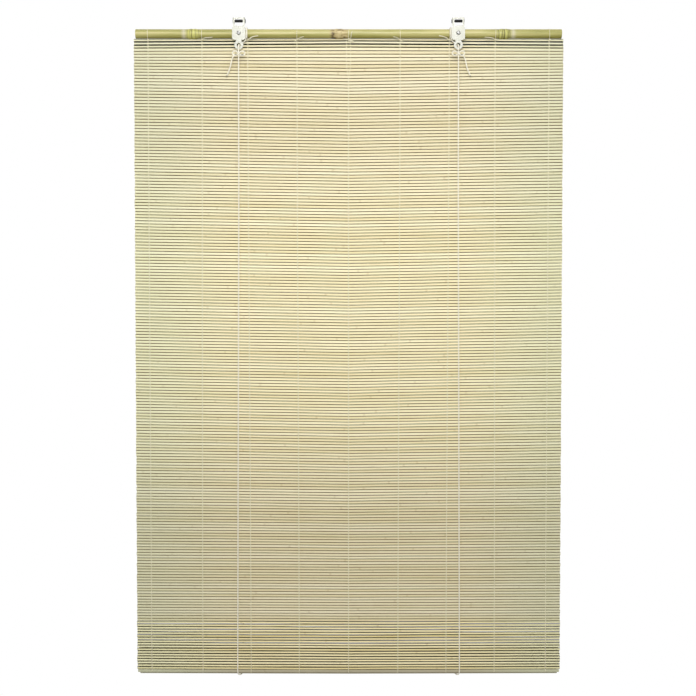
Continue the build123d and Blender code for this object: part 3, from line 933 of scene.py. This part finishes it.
# %% Cord over the pole, bow and knot
for side_name, side in (("left", -1), ("right", 1)):
    over = [
        (CORD_BACK_X, CORD_OVER_Y, -0.0345), (CORD_BACK_X, CORD_OVER_Y, -0.026),
        (CORD_BACK_X, 0.01180, -0.0150), (CORD_BACK_X, 0.0020, -0.0146), (CORD_BACK_X, -0.0075, -0.0146),
        (CORD_BACK_X - 0.0002, -0.0122, -0.0185),
        (CORD_BACK_X - 0.0004, -0.0121, -0.0270), (CORD_BACK_X - 0.0004, -0.0118, -0.0345),
        (CORD_BACK_X + 0.0016, -0.0054, -0.0420), (CORD_BACK_X + 0.009, -0.0050, -0.0465),
        (HANGER_X - 0.0030, -0.0052, -0.0506), (HANGER_X - 0.0005, -0.0105, -0.0514),
        (HANGER_X, -0.0150, -0.0528), (HANGER_X, -0.0152, -0.0600),
        (HANGER_X, KNOT_Y - 0.0004, KNOT_Z + 0.0015),
    ]
    # Each loop leaves the knot above, turns at its outer end and comes back below
    loops = []
    for way, lift in ((-1, 0.0), (1, 0.0006)):
        x0 = HANGER_X
        loops.append([
            (x0, KNOT_Y - 0.0012, KNOT_Z), (x0 + way * 0.0030, KNOT_Y - 0.0014, KNOT_Z + 0.0030 + lift),
            (x0 + way * 0.0070, KNOT_Y - 0.0008, KNOT_Z + 0.0042 + lift),
            (x0 + way * 0.0112, KNOT_Y + 0.0002, KNOT_Z + 0.0038 + lift),
            (x0 + way * 0.0134, KNOT_Y + 0.0006, KNOT_Z + 0.0004),
            (x0 + way * 0.0110, KNOT_Y + 0.0002, KNOT_Z - 0.0040),
            (x0 + way * 0.0066, KNOT_Y - 0.0006, KNOT_Z - 0.0046),
            (x0 + way * 0.0030, KNOT_Y - 0.0012, KNOT_Z - 0.0034), (x0, KNOT_Y - 0.0010, KNOT_Z - 0.0004),
        ])
    wraps = []
    for step in range(15):
        angle = step / 14 * 2.2 * 2 * math.pi
        wraps.append((HANGER_X - 0.0016 + 0.0032 * step / 14, KNOT_Y - 0.0004 - 0.0022 * math.cos(angle),
                      KNOT_Z + 0.0028 * math.sin(angle)))
    tie = tube_along("cord_tie_" + side_name, [mirrored(p, side) for p in (over, *loops, wraps)],
                     CORD_RADIUS, white_cord)
    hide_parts("cord_tie_" + side_name)
    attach(tie, "root")
print("bows tied")

# %% [markdown]
# ### The loose ends
#
# Below each bow hangs the cord's loose end, about 47 mm long, with its cut end melted to a small dark bead
# so that the braid doesn't fray. It is the one free cord on the blind; the mesh tube follows its route, and
# the length of that route is printed.

# %% Loose ends with melted tips
melted = new_finish("melted_tip", 0.35)[0]
melted_tree = melted.node_tree
soot = stretched_noise(melted_tree, (800.0, 800.0, 800.0))
melted_shader = next(n for n in melted_tree.nodes if n.type == "BSDF_PRINCIPLED")
melted_tree.links.new(ramp(melted_tree, soot, [(0.3, chip(66, 58, 44)), (0.7, chip(120, 108, 84))]),
                      melted_shader.inputs["Base Color"])


def centre_line(guide):
    """The points of a route's own smooth line."""
    mesh = bpy.data.meshes.new_from_object(guide.evaluated_get(bpy.context.evaluated_depsgraph_get()))
    return [tuple(v.co) for v in mesh.vertices]


for side_name, side in (("left", -1), ("right", 1)):
    x, foot = HANGER_X + 0.0098, KNOT_Z - 0.0020
    points = mirrored([
        (x, KNOT_Y, foot + 0.0004), (x + 0.0010, KNOT_Y + 0.0003, foot - 0.0040),
        (x + 0.0045, KNOT_Y + 0.0012, foot - 0.0095), (x + 0.0070, KNOT_Y + 0.0036, foot - 0.0210),
        (x + 0.0110, KNOT_Y + 0.0060, foot - 0.0340), (x + 0.0160, KNOT_Y + 0.0074, foot - 0.0430)], side)
    guide = route([points], resolution=8)
    bpy.context.view_layer.update()
    line = centre_line(guide)
    tail = swept(guide, "cord_tail_" + side_name, CORD_RADIUS, white_cord)
    length = sum(math.dist(a, b) for a, b in zip(line, line[1:]))
    end = points[-1]
    tip = tube_along("tail_tip_" + side_name, [[
        tuple(e + 0.0002 * (p - e) / 0.0103 for e, p in zip(end, points[-2])),
        end, tuple(e - 0.0010 * (p - e) / 0.0103 for e, p in zip(end, points[-2]))]],
        CORD_RADIUS * 1.08, melted, resolution=4)
    for piece in (tail, tip):
        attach(piece, "root")
    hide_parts("cord_tail_" + side_name)
    print(side_name, "loose end", round(length, 4), "m")

# %% [markdown]
# ## Ties over the pole
#
# Each pair of threads starts as one loop over the pole, knotted at the front just above the first slat.
# A loop is a straight line up from the slat, an arc round the pole and a straight line down the back. The
# knots are short coils, and some have tails left long by whoever tied them.

# %% Loops, knots and tails
LOOP_RADIUS = 0.01025
TIE_FOOT = mat_top - 0.0028
THREAD_RADIUS = 0.00048


def tie_loop(x, sway):
    """The loop over the pole at one column, from the slat's front to its back."""
    half_gap = SLAT_THICKNESS / 2 + THREAD_RADIUS
    drop = POLE_Z - TIE_FOOT
    reach = math.hypot(half_gap, drop)
    lowest = math.acos(LOOP_RADIUS / reach) - math.atan2(half_gap, drop)
    points = [(x, -half_gap, TIE_FOOT)]
    steps = 18
    for step in range(steps + 1):
        angle = -lowest + (math.pi + 2 * lowest) * step / steps
        points.append((x + sway * math.sin(math.pi * step / steps), -LOOP_RADIUS * math.cos(angle),
                       POLE_Z + LOOP_RADIUS * math.sin(angle)))
    points.append((x, half_gap, TIE_FOOT))
    return points


def small_knot(x, y, z, size):
    """A short coil, as a thread knot looks from a step away."""
    points = []
    for step in range(13):
        angle = step / 12 * 2.4 * 2 * math.pi
        points.append((x + size * 0.9 * math.cos(angle), y - size * 0.5 * math.sin(angle * 0.5),
                       z + size * math.sin(angle) - size * 0.5 * step / 12))
    return points


loops = [tie_loop(x, 0.0008 * math.sin(40 * x + 1)) for x in THREAD_COLUMNS]
ties = tube_along("pole_ties", loops, THREAD_RADIUS, tie_thread, sides=8, resolution=3)
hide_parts("pole_ties")
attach(ties, "root")

knots = [small_knot(x + 0.0006, -0.0035, mat_top + 0.0006, 0.0013 if x else 0.0026) for x in THREAD_COLUMNS]
knots += [small_knot(0.0052, -0.0038, mat_top - 0.0022, 0.0022)]
tails, thick_tails = [], []
for side in (-1, 1):
    tails.append(mirrored([
        (0.3065, -0.0040, -0.0392), (0.3040, -0.0066, -0.0378), (0.2980, -0.0082, -0.0362),
        (0.2890, -0.0090, -0.0360), (0.2840, -0.0088, -0.0354)], side))
    tails.append(mirrored([
        (0.1125, -0.0030, -0.0432), (0.1085, -0.0045, -0.0400), (0.1020, -0.0080, -0.0365),
        (0.0960, -0.0095, -0.0350), (0.0935, -0.0098, -0.0345)], side))
    thick_tails.append(mirrored([
        (0.2140, -0.0034, -0.0425), (0.2085, -0.0060, -0.0390), (0.2020, -0.0090, -0.0352),
        (0.1940, -0.0104, -0.0336), (0.1885, -0.0106, -0.0330)], side))
tails.append([(0.0030, -0.0042, -0.0390), (0.0055, -0.0090, -0.0350), (0.0050, -0.0110, -0.0290),
              (0.0080, -0.0106, -0.0230)])
tails.append([(0.0040, -0.0042, -0.0400), (0.0080, -0.0056, -0.0420), (0.0110, -0.0040, -0.0440)])
for name, routes, radius in (("thread_knots", knots + tails, 0.0007), ("thread_ends", thick_tails, 0.0011)):
    piece = tube_along(name, routes, radius, tie_thread, sides=8, resolution=4)
    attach(piece, "root")
print("ties", len(loops), "knots", len(knots), "tails", len(tails + thick_tails))

# %% [markdown]
# ## Floor, light and background
#
# The photograph has a plain white background. The world is pure white where the camera, a gloss or a
# clear surface looks at it, and much dimmer where it lights the blind. The floor lies below the picture. It
# is plain and pale under the blind, where its shadow falls, and fades to the same white further out.

# %% World
def seen_directly(tree):
    """1 where the camera, a gloss or a clear surface looks, and 0 where light is only gathered."""
    rays = add_node(tree, "ShaderNodeLightPath").outputs
    looks = calc(tree, "ADD", calc(tree, "ADD", rays["Is Camera Ray"], rays["Is Glossy Ray"]),
                 rays["Is Transmission Ray"])
    return calc(tree, "MINIMUM", looks, 1.0)


world = bpy.data.worlds.new("studio")
bpy.context.scene.world = world
world.use_nodes = True
sky = world.node_tree
sky.nodes.clear()
seen = seen_directly(sky)
AMBIENT = 0.455
lit = calc(sky, "MULTIPLY_ADD", seen, 1.0 - AMBIENT, AMBIENT)
background = add_node(sky, "ShaderNodeBackground", {"Color": (1.0, 1.0, 1.0, 1.0), "Strength": lit})
add_node(sky, "ShaderNodeOutputWorld", {"Surface": background.outputs[0]})

# %% Floor
FLOOR_Z = -2.05
FLOOR_PLAIN, FLOOR_WHITE = 0.7, 1.3
floor_mesh = bpy.data.meshes.new("floor")
corners = [(x, y, FLOOR_Z) for x, y in ((-9, -9), (9, -9), (9, 9), (-9, 9))]
floor_mesh.from_pydata(corners, [], [(0, 1, 2, 3)])
floor = bpy.data.objects.new("floor", floor_mesh)
bpy.context.collection.objects.link(floor)
floor_material = bpy.data.materials.new("pale_floor")
floor_material.use_nodes = True
tree = floor_material.node_tree
tree.nodes.clear()
place = object_place(tree)
radius = calc(tree, "SQRT", calc(tree, "MULTIPLY_ADD", place["X"], place["X"], calc(
    tree, "MULTIPLY", place["Y"], place["Y"])))
far = eased_range(tree, radius, FLOOR_PLAIN, FLOOR_WHITE, 0.0, 1.0)
seen = seen_directly(tree)
plain = add_node(tree, "ShaderNodeBsdfDiffuse", {"Color": (0.86, 0.86, 0.85, 1.0)})
white = add_node(tree, "ShaderNodeEmission", {"Color": (1.0, 1.0, 1.0, 1.0), "Strength": 1.0})
mixed = add_node(tree, "ShaderNodeMixShader", {0: calc(tree, "MULTIPLY", far, seen), 1: plain.outputs[0],
                                               2: white.outputs[0]})
add_node(tree, "ShaderNodeOutputMaterial", {"Surface": mixed.outputs[0]})
floor.data.materials.append(floor_material)

# %% [markdown]
# ## Lamps
#
# The pole is bright on its upper half and dark olive below, so the main light comes from above and in
# front; the pole's finish adds painted shade to its underside. Two large soft panels, one each side, keep the
# sides alike, as they are in the photograph. The main panel sits high, so the light fades a little towards
# the hem, and the slat finishes paint more of that fade as painted shade.

# %% Soft panels
def panel(name, place, aim, size, power):
    lamp = bpy.data.lights.new(name, "AREA")
    lamp.shape, lamp.size, lamp.energy = "DISK", size, power
    lamp_object = bpy.data.objects.new(name, lamp)
    lamp_object.location = place
    track = Vector(place) - Vector(aim)
    lamp_object.rotation_euler = track.to_track_quat("Z", "Y").to_euler()
    bpy.context.collection.objects.link(lamp_object)


panel("main_panel", (0.0, -1.75, 0.70), (0.0, 0.0, -0.52), 1.0, 31.0)
panel("left_panel", (-1.9, -1.9, -0.10), (0.0, 0.0, -0.60), 1.2, 6.0)
panel("right_panel", (1.9, -1.9, -0.10), (0.0, 0.0, -0.60), 1.2, 6.0)
bpy.context.scene.view_settings.view_transform = "Standard"

# %% [markdown]
# ## Finish
#
# The view layer is updated once more at the end.

# %% Last update
bpy.context.view_layer.update()
